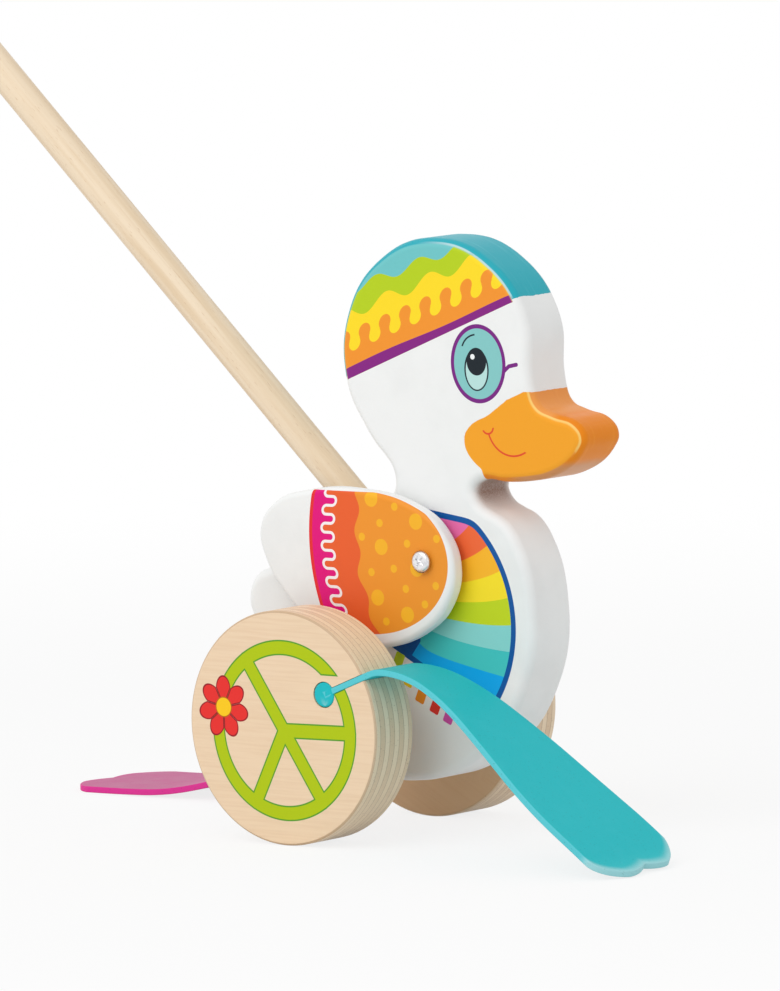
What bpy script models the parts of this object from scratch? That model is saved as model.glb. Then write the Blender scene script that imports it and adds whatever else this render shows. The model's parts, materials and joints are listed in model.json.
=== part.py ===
"""Push-along wooden duck: a sawn plank on two plywood wheels that hold rubber webbed feet.

Metres, +Z up, +X the way it rolls, +Y its left side, floor at Z = 0. Shapes are drawn about the
axle, and the finished toy is moved so that its box is centred over the origin.
"""

import math

import bmesh
import bpy
from mathutils import Matrix, Vector

# Clearances
FIT = 0.0003  # between pieces that touch or are glued
RUN = 0.0004  # radial play round something that turns

# Wheels, axle and the sleeves that hold the wheels away from the plank
WHEEL_RADIUS = 0.035
WHEEL_THICK = 0.018
WHEEL_EDGE = 0.0009
AXLE_RADIUS = 0.004
AXLE_SEAT = 0.012
AXLE_EDGE = 0.0005
SPACER_LENGTH = 0.0157
SPACER_WALL = 0.003

# Duck plank, drawn from the axle: body and head are discs joined by a neck
PLANK_THICK = 0.020
PLANK_ROUND = 0.0030
BODY_RADIUS = 0.0502
BODY_FORWARD = 0.0176
BODY_UP = 0.0314
HEAD_RADIUS = 0.0354
HEAD_FORWARD = 0.0338
HEAD_UP = 0.1082
NECK_WIDTH = 0.0298
NECK_FORWARD = 0.0317
NECK_UP = 0.0705
BACK_HOLLOW = 0.0030
BEAK_REACH = 0.0184
BEAK_DROP = 0.0222
BEAK_CHIN = 0.0360
BEAK_ROUND = 0.0052
TAIL_REACH = 0.0398
TAIL_UP = 0.0330
TAIL_ROUND = 0.0105

# Wings, drawn from their screw
WING_THICK = 0.0058
WING_ROUND = 0.0018
WING_LENGTH = 0.0620
WING_FRONT = 0.0107
WING_TOP = 0.0204
WING_BELOW = 0.0268
WING_FORWARD = 0.0335
WING_UP = 0.0485
LEFT_WING_DROOP = 12.0
WASHER_THICK = 0.0010
WASHER_RADIUS = 0.0050
SCREW_RADIUS = 0.00175
SCREW_DEPTH = 0.0085
SCREW_HEAD_RADIUS = 0.0032
SCREW_HEAD_HEIGHT = 0.0019

# Rubber feet: a bead and neck in the wheel's keyhole, and a webbed flap outside the rim
FOOT_THICK = 0.0019
FOOT_EDGE = 0.0005
BEAD_RADIUS = 0.00375
BEAD_FORWARD = 0.0159
BEAD_UP = 0.0109
SLOT_TILT = 22.0
FLAP_HINGE_OUT = 0.0025
FLAP_LENGTH = 0.1195
FLAP_WIDTH = 0.0402
FLAP_WIDENS = 0.095
FLAP_CLEAR = 0.0008
TOE_CORNER = 0.0180
TOE_NOTCH = 0.0100
TOE_NOTCH_WIDTH = 0.0300
TOE_SKEW = 0.0030
FEET_APART = 152.0
# Slope of each flap in degrees against the share of its length, before it is eased onto the floor
RIGHT_BEND = ((0.0, 22.0), (0.07, -20.0), (0.19, -24.5), (0.34, -28.5), (0.55, -36.0),
              (0.76, -37.0), (0.89, -24.0), (1.0, -4.0))
LEFT_BEND = ((0.0, 174.0), (0.08, 208.0), (0.20, 221.0), (0.32, 223.0), (0.42, 207.0),
             (0.50, 193.0), (0.60, 185.0), (0.72, 180.0), (1.0, 180.0))

# Push stick and its ball
STICK_RADIUS = 0.005
STICK_LENGTH = 0.500
STICK_EDGE = 0.0006
STICK_TILT = 43.6
STICK_FORWARD = 0.0199
STICK_UP = 0.0396
KNOB_RADIUS = 0.0175
KNOB_SEAT = 0.019

# Planes across the toy, from its middle outwards
WASHER_Y = PLANK_THICK / 2 + FIT
WING_Y = WASHER_Y + WASHER_THICK + FIT
SCREW_Y = WING_Y + WING_THICK + FIT
FLAP_Y = SCREW_Y + SCREW_HEAD_HEIGHT + FLAP_CLEAR
WHEEL_Y = PLANK_THICK / 2 + SPACER_LENGTH + 2 * FIT

for old in list(bpy.data.objects):
    bpy.data.objects.remove(old, do_unlink=True)

toy = bpy.data.collections.new("push_along_duck")
tools = bpy.data.collections.new("cutters")
bpy.context.scene.collection.children.link(toy)
bpy.context.scene.collection.children.link(tools)


def material(name, colour, roughness, metallic=0.0):
    made = bpy.data.materials.new(name)
    made.use_nodes = True
    shader = made.node_tree.nodes["Principled BSDF"]
    shader.inputs["Base Color"].default_value = (*colour, 1.0)
    shader.inputs["Roughness"].default_value = roughness
    shader.inputs["Metallic"].default_value = metallic
    return made


WHITE = material("white_paint", (0.87, 0.88, 0.87), 0.45)
PLY = material("birch_ply", (0.84, 0.67, 0.44), 0.6)
WOOD = material("natural_beech", (0.80, 0.62, 0.41), 0.55)
STEEL = material("nickel_steel", (0.75, 0.76, 0.78), 0.25, 1.0)
TURQUOISE = material("turquoise_rubber", (0.05, 0.48, 0.52), 0.5)
PINK = material("pink_rubber", (0.65, 0.05, 0.28), 0.5)

root = bpy.data.objects.new("duck_toy", None)
toy.objects.link(root)


def add(name, mesh, look, where, parent=root):
    """A piece of the toy, with its own copy of a material and its origin at where."""
    piece = bpy.data.objects.new(name, mesh)
    piece.location = where
    piece.parent = parent
    own = look.copy()
    own.name = name
    mesh.materials.clear()
    mesh.materials.append(own)
    toy.objects.link(piece)
    return piece


def cutter(name, mesh, where):
    tool = bpy.data.objects.new(name, mesh)
    tool.location = where
    tool.parent = root
    tool.hide_render = True
    tool.display_type = "WIRE"
    tools.objects.link(tool)
    return tool


def combine(piece, tool, operation="DIFFERENCE"):
    change = piece.modifiers.new(tool.name, "BOOLEAN")
    change.operation = operation
    change.object = tool


def round_edges(piece, width, segments=2):
    soft = piece.modifiers.new("edges", "BEVEL")
    soft.width = width
    soft.segments = segments
    soft.limit_method = "ANGLE"
    soft.angle_limit = math.radians(50)


def smooth(mesh):
    mesh.shade_smooth()
    mesh.set_sharp_from_angle(angle=math.radians(40))


def rod(name, radius, length, sides, along=(0, 1, 0)):
    """A cylinder centred on the origin with its axis along a direction."""
    form = bmesh.new()
    bmesh.ops.create_cone(
        form, cap_ends=True, segments=sides, radius1=radius, radius2=radius, depth=length
    )
    turn = Vector(along).to_track_quat("Z", "X").to_matrix().to_4x4()
    bmesh.ops.transform(form, matrix=turn, verts=form.verts)
    mesh = bpy.data.meshes.new(name)
    form.to_mesh(mesh)
    form.free()
    smooth(mesh)
    return mesh


def block(name, low, high, turn=0.0):
    """A box between two corners, turned in degrees about Y through the origin."""
    form = bmesh.new()
    bmesh.ops.create_cube(form, size=1.0)
    span = Vector(high) - Vector(low)
    bmesh.ops.scale(form, vec=span, verts=form.verts)
    bmesh.ops.translate(form, vec=(Vector(low) + Vector(high)) / 2, verts=form.verts)
    bmesh.ops.transform(form, matrix=Matrix.Rotation(math.radians(turn), 4, "Y"), verts=form.verts)
    mesh = bpy.data.meshes.new(name)
    form.to_mesh(mesh)
    form.free()
    return mesh


def plate(name, outline, thick, edge):
    """A smooth outline in X and Z sawn from a board, its edges rounded over, centred on Y = 0."""
    drawing = bpy.data.curves.new(name, "CURVE")
    drawing.dimensions = "2D"
    drawing.fill_mode = "BOTH"
    drawing.resolution_u = 4
    drawing.extrude = thick / 2 - edge
    drawing.bevel_depth = edge
    drawing.bevel_resolution = 1
    drawing.offset = -edge
    line = drawing.splines.new("BEZIER")
    line.use_cyclic_u = True
    line.bezier_points.add(len(outline) - 1)
    for knot, (x, z) in zip(line.bezier_points, outline):
        knot.co = (x, z, 0)
        knot.handle_left_type = "AUTO"
        knot.handle_right_type = "AUTO"
    sketch = bpy.data.objects.new(name, drawing)
    tools.objects.link(sketch)
    seen = sketch.evaluated_get(bpy.context.evaluated_depsgraph_get())
    mesh = bpy.data.meshes.new_from_object(seen)
    bpy.data.objects.remove(sketch, do_unlink=True)
    form = bmesh.new()
    form.from_mesh(mesh)
    bmesh.ops.remove_doubles(form, verts=form.verts, dist=0.000001)
    bmesh.ops.transform(form, matrix=Matrix.Rotation(math.pi / 2, 4, "X"), verts=form.verts)
    bmesh.ops.recalc_face_normals(form, faces=form.faces)
    form.to_mesh(mesh)
    form.free()
    smooth(mesh)
    return mesh


def turned(name, profile, along, look, where, closed=False, sides=24):
    """A profile of (radius, height) run down its outer side, turned about a direction."""
    mesh = bpy.data.meshes.new(name)
    ends = [(i, i + 1) for i in range(len(profile) - 1)]
    if closed:
        ends.append((len(profile) - 1, 0))
    mesh.from_pydata([(r, 0, h) for r, h in profile], ends, [])
    piece = add(name, mesh, look, where)
    piece.rotation_mode = "QUATERNION"
    piece.rotation_quaternion = Vector(along).to_track_quat("Z", "X")
    lathe = piece.modifiers.new("lathe", "SCREW")
    lathe.axis = "Z"
    lathe.steps = sides
    lathe.render_steps = sides
    lathe.use_merge_vertices = True
    lathe.merge_threshold = 0.000001
    return piece


def arc(centre, radius, degrees):
    """Points of a circle in X and Z at the given angles from forward, upwards."""
    return [
        (centre[0] + radius * math.cos(math.radians(d)), centre[1] + radius * math.sin(math.radians(d)))
        for d in degrees
    ]


def duck_outline():
    head = (HEAD_FORWARD, HEAD_UP)
    body = (BODY_FORWARD, BODY_UP)
    tail = (TAIL_ROUND - TAIL_REACH, TAIL_UP)
    brow = HEAD_FORWARD + HEAD_RADIUS
    chin = HEAD_UP - BEAK_CHIN
    beak = (brow + BEAK_REACH - BEAK_ROUND, HEAD_UP - BEAK_DROP)
    nape = NECK_FORWARD - NECK_WIDTH / 2
    throat = NECK_FORWARD + NECK_WIDTH / 2
    back = ((nape + tail[0]) / 2, (NECK_UP + TAIL_UP + TAIL_ROUND) / 2 - BACK_HOLLOW)
    line = arc(head, HEAD_RADIUS, (-11, 20, 55, 90, 125, 160, 195, 221))
    line += [(nape, NECK_UP), (nape - 0.15 * NECK_WIDTH, NECK_UP - 0.22 * NECK_WIDTH), back]
    line += arc(tail, TAIL_ROUND, (90, 135, 180, 215))
    line += arc(body, BODY_RADIUS, (215, 245, 275, 305, 335, 5, 33))
    line += [(throat, NECK_UP - 0.07 * NECK_WIDTH), (throat + 0.04 * NECK_WIDTH, NECK_UP + 0.03 * NECK_WIDTH)]
    line += [(brow - 0.5 * BEAK_REACH, chin), (brow + 0.45 * BEAK_REACH, chin + 0.18 * BEAK_REACH)]
    line += arc(beak, BEAK_ROUND, (-40, 5, 65))
    bridge = beak[1] + BEAK_ROUND
    line += [(brow + 0.38 * BEAK_REACH, bridge + 0.11 * BEAK_REACH)]
    line += [(brow + 0.09 * BEAK_REACH, bridge + 0.24 * BEAK_REACH)]
    return line


AXLE = Vector((0, 0, WHEEL_RADIUS))
UP_STICK = Vector((-math.cos(math.radians(STICK_TILT)), 0, math.sin(math.radians(STICK_TILT))))
STICK_FOOT = AXLE + Vector((STICK_FORWARD, 0, STICK_UP))
PIVOT = AXLE + Vector((WING_FORWARD, 0, WING_UP))

# The duck: one plank, bored for the axle, both wing screws and the stick
duck = add("duck_body", plate("duck_body", duck_outline(), PLANK_THICK, PLANK_ROUND), WHITE, AXLE)
bore = rod("axle_bore", AXLE_RADIUS + RUN, PLANK_THICK * 2, 24)
combine(duck, cutter("axle_bore", bore, AXLE))
socket = rod("stick_socket", STICK_RADIUS + FIT, STICK_LENGTH, 24, UP_STICK)
combine(duck, cutter("stick_socket", socket, STICK_FOOT + UP_STICK * (STICK_LENGTH / 2 - FIT)))

# The stick and its turned ball
stick_mesh = rod("push_stick", STICK_RADIUS, STICK_LENGTH, 24, UP_STICK)
stick = add("push_stick", stick_mesh, WOOD, STICK_FOOT + UP_STICK * STICK_LENGTH / 2)
round_edges(stick, STICK_EDGE, 1)
rim_drop = math.sqrt(KNOB_RADIUS**2 - (STICK_RADIUS + FIT) ** 2)
knob_profile = [(0, KNOB_RADIUS)]
rim_angle = math.degrees(math.acos(-rim_drop / KNOB_RADIUS))
for step in range(1, 15):
    lean = math.radians(rim_angle * step / 14)
    knob_profile.append((KNOB_RADIUS * math.sin(lean), KNOB_RADIUS * math.cos(lean)))
knob_profile += [(STICK_RADIUS + FIT, KNOB_SEAT - rim_drop), (0, KNOB_SEAT - rim_drop)]
knob_centre = STICK_FOOT + UP_STICK * (STICK_LENGTH + FIT - KNOB_SEAT + rim_drop)
turned("stick_knob", knob_profile, UP_STICK, WOOD, knob_centre)

# The axle, glued into both wheels, and the sleeves that run on it
axle_length = 2 * (WHEEL_Y + AXLE_SEAT - FIT)
axle = add("axle", rod("axle", AXLE_RADIUS, axle_length, 24), WOOD, AXLE)
round_edges(axle, AXLE_EDGE, 1)


def wing_outline():
    return [
        (-WING_LENGTH, 0.36 * WING_TOP),
        (-0.91 * WING_LENGTH, 0.74 * WING_TOP),
        (-0.70 * WING_LENGTH, 0.95 * WING_TOP),
        (-0.42 * WING_LENGTH, WING_TOP),
        (-0.05 * WING_LENGTH, 0.78 * WING_TOP),
        (0.60 * WING_FRONT, 0.44 * WING_TOP),
        (WING_FRONT, -0.07 * WING_BELOW),
        (0.72 * WING_FRONT, -0.48 * WING_BELOW),
        (0.07 * WING_FRONT, -0.75 * WING_BELOW),
        (-0.27 * WING_LENGTH, -WING_BELOW),
        (-0.48 * WING_LENGTH, -0.98 * WING_BELOW),
        (-0.68 * WING_LENGTH, -0.80 * WING_BELOW),
        (-0.87 * WING_LENGTH, -0.42 * WING_BELOW),
        (-0.97 * WING_LENGTH, -0.08 * WING_BELOW),
    ]


def screw_profile():
    return [
        (0, SCREW_HEAD_HEIGHT),
        (0.50 * SCREW_HEAD_RADIUS, 0.93 * SCREW_HEAD_HEIGHT),
        (0.85 * SCREW_HEAD_RADIUS, 0.65 * SCREW_HEAD_HEIGHT),
        (SCREW_HEAD_RADIUS, 0.15 * SCREW_HEAD_HEIGHT),
        (SCREW_HEAD_RADIUS, 0),
        (SCREW_RADIUS, 0),
        (SCREW_RADIUS, PLANK_THICK / 2 + SCREW_RADIUS - SCREW_Y - SCREW_DEPTH),
        (0, PLANK_THICK / 2 - SCREW_Y - SCREW_DEPTH),
    ]


def ring_profile(inner, outer, length):
    return [(inner, length / 2), (outer, length / 2), (outer, -length / 2), (inner, -length / 2)]


def mouth_distance():
    """How far along the slot its mouth in the rim lies from the bead's centre."""
    tilt = math.radians(SLOT_TILT)
    along = BEAD_FORWARD * math.cos(tilt) + BEAD_UP * math.sin(tilt)
    return math.sqrt(along**2 + WHEEL_RADIUS**2 - BEAD_FORWARD**2 - BEAD_UP**2) - along


def flap_path(bend, start, ease):
    """Points along a bent flap, its slope eased by some degrees beyond the neck."""
    count = 60
    here = Vector(start)
    line = [here.copy()]
    for i in range(count):
        share = (i + 0.5) / count
        for (s0, a0), (s1, a1) in zip(bend, bend[1:]):
            if s0 <= share <= s1:
                slope = a0 + (a1 - a0) * (share - s0) / (s1 - s0)
        slope = math.radians(slope + ease * min(1.0, share / bend[1][0]))
        here += Vector((math.cos(slope), 0, math.sin(slope))) * (FLAP_LENGTH / count)
        line.append(here.copy())
    return line


def toe_length(across):
    """Share of the flap's length that it has at a place across it, from -1 on its short side to 1."""
    corner = TOE_CORNER * (1 - math.sqrt(1 - 0.96 * across**2))
    notch = TOE_NOTCH * max(0.0, 1 - abs(across) * FLAP_WIDTH / TOE_NOTCH_WIDTH) ** 1.2
    return (FLAP_LENGTH - corner - notch - TOE_SKEW * (1 - across)) / FLAP_LENGTH


def resting_path(bend, start):
    """The flap turned at its neck until its lowest toe lies on the floor."""
    low, high = -25.0, 25.0
    falls = 1 if math.cos(math.radians(bend[0][1])) > 0 else -1
    longest = max(toe_length(i / 20 - 1) for i in range(41))
    for _ in range(40):
        ease = (low + high) / 2
        line = flap_path(bend, start, falls * ease)
        lowest = min(point.z for point in line[: math.ceil(longest * (len(line) - 1)) + 1])
        if lowest > FOOT_THICK / 2:
            high = ease
        else:
            low = ease
    return flap_path(bend, start, falls * high)


def flap(name, side, bend, hinge, look):
    """A webbed rubber flap: a grid bent along its path, spread to its toes and thickened."""
    line = resting_path(bend, hinge)
    lead = (line[1] - line[0]).normalized()
    line.insert(0, line[0] - lead * 0.3 * FOOT_THICK)
    wheel_middle = WHEEL_Y + WHEEL_THICK / 2
    spread_middle = FLAP_Y + FLAP_WIDTH / 2
    form = bmesh.new()
    bmesh.ops.create_grid(form, x_segments=26, y_segments=14, size=0.5)
    for vert in form.verts:
        across = 2 * vert.co.y
        share = (vert.co.x + 0.5) * toe_length(-side * across)
        place = share * (len(line) - 1)
        step = min(int(place), len(line) - 2)
        at = line[step].lerp(line[step + 1], place - step)
        opened = min(1.0, max(0.0, share * FLAP_LENGTH / FLAP_WIDENS))
        opened = opened * opened * (3 - 2 * opened)
        half = (WHEEL_THICK + (FLAP_WIDTH - WHEEL_THICK) * opened) / 2
        middle = wheel_middle + (spread_middle - wheel_middle) * opened
        vert.co = (at.x - hinge.x, side * (middle + half * across), at.z - hinge.z)
    bmesh.ops.recalc_face_normals(form, faces=form.faces)
    mesh = bpy.data.meshes.new(name)
    form.to_mesh(mesh)
    form.free()
    piece = add(name, mesh, look, hinge)
    skin = piece.modifiers.new("rubber", "SOLIDIFY")
    skin.thickness = FOOT_THICK
    skin.offset = 0.0
    round_edges(piece, FOOT_EDGE, 1)
    return piece


def side_pieces(side, word, phase, bend, rubber, droop=0.0):
    """Wing, screw, washer, sleeve, wheel and foot of one side: side is -1 right and 1 left."""
    out = (0, side, 0)
    pivot = PIVOT + Vector((0, side * (WING_Y + WING_THICK / 2), 0))
    wing_name = word + "_wing"
    wing = add(wing_name, plate(wing_name, wing_outline(), WING_THICK, WING_ROUND), WHITE, pivot)
    wing.rotation_euler.y = math.radians(-droop)
    hole = rod(word + "_wing_hole", SCREW_RADIUS + RUN, WING_THICK * 2, 16)
    combine(wing, cutter(word + "_wing_hole", hole, pivot))
    seat = PIVOT + Vector((0, side * SCREW_Y, 0))
    turned(word + "_wing_screw", screw_profile(), out, STEEL, seat, sides=16)
    pilot_depth = SCREW_DEPTH + FIT
    pilot = rod(word + "_pilot_hole", SCREW_RADIUS + FIT, pilot_depth * 2, 16)
    combine(duck, cutter(word + "_pilot_hole", pilot, PIVOT + Vector((0, side * PLANK_THICK / 2, 0))))
    ring = ring_profile(SCREW_RADIUS + FIT, WASHER_RADIUS, WASHER_THICK)
    shim = PIVOT + Vector((0, side * (WASHER_Y + WASHER_THICK / 2), 0))
    turned(word + "_wing_washer", ring, out, STEEL, shim, closed=True, sides=20)

    sleeve = ring_profile(AXLE_RADIUS + FIT, AXLE_RADIUS + FIT + SPACER_WALL, SPACER_LENGTH)
    sleeve_at = AXLE + Vector((0, side * (WHEEL_Y - FIT - SPACER_LENGTH / 2), 0))
    turned(word + "_axle_spacer", sleeve, out, WOOD, sleeve_at, closed=True)

    middle = AXLE + Vector((0, side * (WHEEL_Y + WHEEL_THICK / 2), 0))
    wheel_name = word + "_wheel"
    wheel = add(wheel_name, rod(wheel_name, WHEEL_RADIUS, WHEEL_THICK, 72), PLY, middle)
    round_edges(wheel, WHEEL_EDGE)
    seat_hole = rod(word + "_axle_seat", AXLE_RADIUS + FIT, AXLE_SEAT * 2, 24)
    inner_face = AXLE + Vector((0, side * WHEEL_Y, 0))
    combine(wheel, cutter(word + "_axle_seat", seat_hole, inner_face))

    turn = Matrix.Rotation(math.radians(-phase), 3, "Y")
    bead_at = middle + turn @ Vector((BEAD_FORWARD, 0, BEAD_UP))
    bead_hole = rod(word + "_bead_hole", BEAD_RADIUS + FIT, WHEEL_THICK * 2, 20)
    combine(wheel, cutter(word + "_bead_hole", bead_hole, bead_at))
    half = FOOT_THICK / 2 + FIT
    angle = -(SLOT_TILT + phase)
    slot = block(
        word + "_slot", (0, -WHEEL_THICK, -half), (2 * WHEEL_RADIUS, WHEEL_THICK, half), angle
    )
    combine(wheel, cutter(word + "_slot", slot, bead_at))

    reach = mouth_distance() + FLAP_HINGE_OUT
    root_name = word + "_foot_root"
    foot = add(root_name, rod(root_name, BEAD_RADIUS, WHEEL_THICK, 20), rubber, bead_at)
    neck = block(
        word + "_neck",
        (0, -WHEEL_THICK / 2, -FOOT_THICK / 2),
        (reach - FOOT_THICK / 2 - FIT, WHEEL_THICK / 2, FOOT_THICK / 2),
        angle,
    )
    combine(foot, cutter(word + "_neck", neck, bead_at), "UNION")
    lead = Vector((math.cos(math.radians(angle)), 0, -math.sin(math.radians(angle))))
    hinge = bead_at + lead * reach
    hinge.y = 0
    flap(word + "_foot_flap", side, bend, hinge, rubber)


side_pieces(-1, "right", 0.0, RIGHT_BEND, TURQUOISE)
side_pieces(1, "left", FEET_APART, LEFT_BEND, PINK, LEFT_WING_DROOP)

# The toy's box is centred over the origin, front to back
bpy.context.view_layer.update()
shapes = bpy.context.evaluated_depsgraph_get()
fronts = []
for piece in toy.objects:
    if piece.type == "MESH":
        seen = piece.evaluated_get(shapes)
        fronts += [(seen.matrix_world @ vert.co).x for vert in seen.data.vertices]
root.location.x = -(min(fronts) + max(fronts)) / 2
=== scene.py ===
import json
import math

import bpy
from mathutils import Matrix, Vector

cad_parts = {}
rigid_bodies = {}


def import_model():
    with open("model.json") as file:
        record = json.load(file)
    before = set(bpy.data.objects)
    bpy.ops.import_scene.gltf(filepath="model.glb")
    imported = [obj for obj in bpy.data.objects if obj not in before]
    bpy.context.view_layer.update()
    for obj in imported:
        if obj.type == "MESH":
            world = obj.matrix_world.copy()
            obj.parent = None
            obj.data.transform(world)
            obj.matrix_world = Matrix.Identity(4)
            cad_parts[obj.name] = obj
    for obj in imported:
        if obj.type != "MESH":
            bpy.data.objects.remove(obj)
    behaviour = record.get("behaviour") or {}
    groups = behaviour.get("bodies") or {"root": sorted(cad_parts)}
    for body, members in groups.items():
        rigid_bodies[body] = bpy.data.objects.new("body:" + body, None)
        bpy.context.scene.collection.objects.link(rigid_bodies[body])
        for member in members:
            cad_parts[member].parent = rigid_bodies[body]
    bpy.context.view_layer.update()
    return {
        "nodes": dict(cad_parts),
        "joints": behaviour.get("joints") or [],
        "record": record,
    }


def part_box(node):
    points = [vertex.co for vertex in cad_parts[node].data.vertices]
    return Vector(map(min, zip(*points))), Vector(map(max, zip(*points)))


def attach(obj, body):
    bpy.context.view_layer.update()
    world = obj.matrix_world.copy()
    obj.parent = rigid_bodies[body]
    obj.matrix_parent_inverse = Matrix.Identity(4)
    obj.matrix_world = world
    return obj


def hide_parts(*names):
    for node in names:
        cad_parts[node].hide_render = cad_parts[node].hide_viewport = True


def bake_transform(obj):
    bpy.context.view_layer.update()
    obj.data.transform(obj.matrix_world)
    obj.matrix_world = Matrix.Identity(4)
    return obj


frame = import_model()


# The duck: body, neck, head and beak are sawn from one board, and its rims are rounded over.
# It is sprayed white and screen-printed on both faces, and cap and beak are brushed round the edge.
# It is bored across for the axle and the wing screws, and aslant for the stick.
JOINT_AT = {joint["name"]: Vector(joint["pos_m"]) for joint in frame["joints"]}
MOUNTS = {mount["name"]: mount for mount in frame["record"]["mounts"]}
AXLE = JOINT_AT["wheel_roll"]
UPRIGHT = Matrix.Identity(3)
PLANK_ROUND = 0.003
PLANK_SECTION = 0.006  # a plane across the board that misses the bore for the stick
ROUND_STEPS = 6
WELD = 0.000002
SMOOTH_ANGLE = 40
AXLE_BORE = 0.0044
STICK_BORE = 0.0053
PILOT_BORE = 0.00205
PILOT_DEPTH = 0.0088
BOARD_HALF = 0.01
DRILL_START = 0.02  # from the board's middle, clear of its faces
STICK_DRILL = 0.1
GLUE_GAP = 0.0003
WHITE = (243, 244, 243)
WHITE_SHADE = (238, 239, 238)
CAP_TURQUOISE = (36, 172, 187)
CAP_STREAK = (84, 190, 202)
HEM_START = (0.9, 135.6)  # millimetres forward of the axle and above the floor, as all of the print
HEM_SLOPE = 0.402
BEAK_TIP = 134.2
BEAK_EDGE = (238, 136, 10)
BEAK_STREAK = (246, 156, 42)
PRINT_FROM = 9.65  # from the board's middle: the flat face and the start of its rounding
# Where a thin broken pale line runs between print and edge paint: partly bare primer, partly a painted
# highlight.
SEAM_AND_HIGHLIGHT_AT = 9.5
PAINT_GLOSS = 0.22
DASHES = (
    ((17.6, 52.6), (185, 215, 45)), ((21.2, 46.8), (253, 222, 45)), ((25.6, 42.2), (245, 150, 45)),
    ((30.9, 39.3), (232, 60, 50)), ((35.8, 36.6), (214, 84, 172)),
)
DASH_LEAN = math.radians(66)
STICK_FORWARD = 0.0199
STICK_UP = 0.0396


def hold(piece):
    """Selects one object alone and makes it the active one."""
    bpy.ops.object.select_all(action="DESELECT")
    piece.select_set(True)
    bpy.context.view_layer.objects.active = piece


def sawn_plate(name, node, section, round_over):
    """A plate with the outline that a CAD node has in the plane Y = section, with its rims rounded."""
    low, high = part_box(node)
    plate = bpy.data.objects.new(name, frame["nodes"][node].data.copy())
    bpy.context.scene.collection.objects.link(plate)
    plate.data.materials.clear()
    hold(plate)
    bpy.ops.object.mode_set(mode="EDIT")
    bpy.ops.mesh.select_all(action="SELECT")
    bpy.ops.mesh.remove_doubles(threshold=WELD)
    bpy.ops.mesh.bisect(
        plane_co=(0, section, 0), plane_no=(0, 1, 0), clear_inner=True, clear_outer=True
    )
    bpy.ops.mesh.select_all(action="DESELECT")
    bpy.ops.object.mode_set(mode="OBJECT")
    max(plate.data.vertices, key=lambda vert: vert.co.x).select = True
    bpy.ops.object.mode_set(mode="EDIT")
    bpy.ops.mesh.select_linked()
    bpy.ops.mesh.select_all(action="INVERT")
    bpy.ops.mesh.delete(type="VERT")
    bpy.ops.mesh.select_all(action="SELECT")
    bpy.ops.mesh.dissolve_limited(angle_limit=math.radians(0.5))
    bpy.ops.object.mode_set(mode="OBJECT")
    bpy.ops.object.convert(target="CURVE")
    bpy.ops.object.mode_set(mode="EDIT")
    bpy.ops.curve.select_all(action="SELECT")
    bpy.ops.curve.spline_type_set(type="BEZIER")
    bpy.ops.curve.handle_type_set(type="AUTOMATIC")
    bpy.ops.object.mode_set(mode="OBJECT")
    plate.data.resolution_u = 4
    bpy.ops.object.convert(target="MESH")
    bpy.ops.object.mode_set(mode="EDIT")
    bpy.ops.mesh.select_all(action="SELECT")
    bpy.ops.mesh.remove_doubles(threshold=WELD)
    bpy.ops.mesh.edge_face_add()
    bpy.ops.transform.translate(value=(0, low.y - section, 0))
    bpy.ops.mesh.extrude_region_move(TRANSFORM_OT_translate={"value": (0, high.y - low.y, 0)})
    bpy.ops.mesh.select_all(action="SELECT")
    bpy.ops.mesh.normals_make_consistent(inside=False)
    bpy.ops.mesh.select_all(action="DESELECT")
    bpy.ops.mesh.select_mode(type="EDGE")
    bpy.ops.mesh.edges_select_sharp(sharpness=math.radians(60))
    bpy.ops.mesh.bevel(offset=round_over, segments=ROUND_STEPS, affect="EDGES", clamp_overlap=False)
    bpy.ops.mesh.select_mode(type="VERT")
    bpy.ops.object.mode_set(mode="OBJECT")
    return plate


def rod(name, start, end, radius, sides=64):
    """A cylinder between two points, with its place in its mesh."""
    along = Vector(end) - Vector(start)
    bpy.ops.object.select_all(action="DESELECT")
    bpy.ops.mesh.primitive_cylinder_add(
        vertices=sides,
        radius=radius,
        depth=along.length,
        location=(Vector(start) + Vector(end)) / 2,
        rotation=along.to_track_quat("Z", "X").to_euler(),
    )
    made = bpy.context.object
    made.name = name
    bpy.ops.object.transform_apply(location=True, rotation=True, scale=True)
    return made


def join(piece, tool, operation="DIFFERENCE"):
    """Applies a Boolean with a tool object, which is then thrown away."""
    change = piece.modifiers.new("join", "BOOLEAN")
    change.operation = operation
    change.solver = "EXACT"
    change.object = tool
    hold(piece)
    bpy.ops.object.modifier_apply(modifier=change.name)
    bpy.data.objects.remove(tool, do_unlink=True)


def polish(piece):
    """Smooth shading that keeps flat faces flat."""
    hold(piece)
    bpy.ops.object.shade_smooth_by_angle(angle=math.radians(SMOOTH_ANGLE))
    even = piece.modifiers.new("even", "WEIGHTED_NORMAL")
    even.keep_sharp = True
    bpy.ops.object.modifier_apply(modifier=even.name)


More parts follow.
